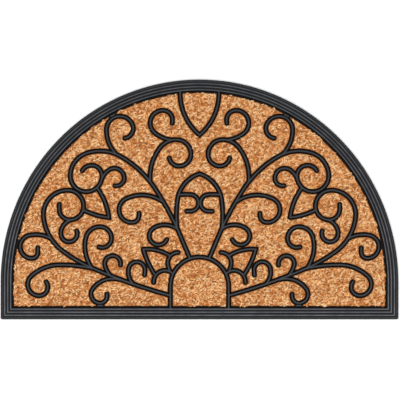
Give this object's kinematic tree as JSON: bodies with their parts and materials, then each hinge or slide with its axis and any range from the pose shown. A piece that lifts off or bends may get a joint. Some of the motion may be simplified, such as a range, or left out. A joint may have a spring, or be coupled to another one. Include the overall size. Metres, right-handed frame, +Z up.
{
  "type": "half-round coir doormat",
  "caption": "Half-round coir doormat with a straight front edge: coir pile held in a moulded rubber frame with a beaded border and raised scrollwork ribs.",
  "frame": {"origin": "on the ground under the middle of the mat's bounding box, where its underside rests", "axes": "+X to the right along the straight edge, +Y away from the straight edge towards the top of the curve, +Z up"},
  "size_m": [0.75, 0.452, 0.0105],
  "materials": {
    "rubber": "matte moulded rubber, black with a dusty grey bloom on its raised faces",
    "coir": "natural coir pile, golden brown, dull and rough"
  },
  "bodies": {
    "root": {"rubber_moulding": "rubber", "coir_panel": "coir"}
  },
  "joints": []
}
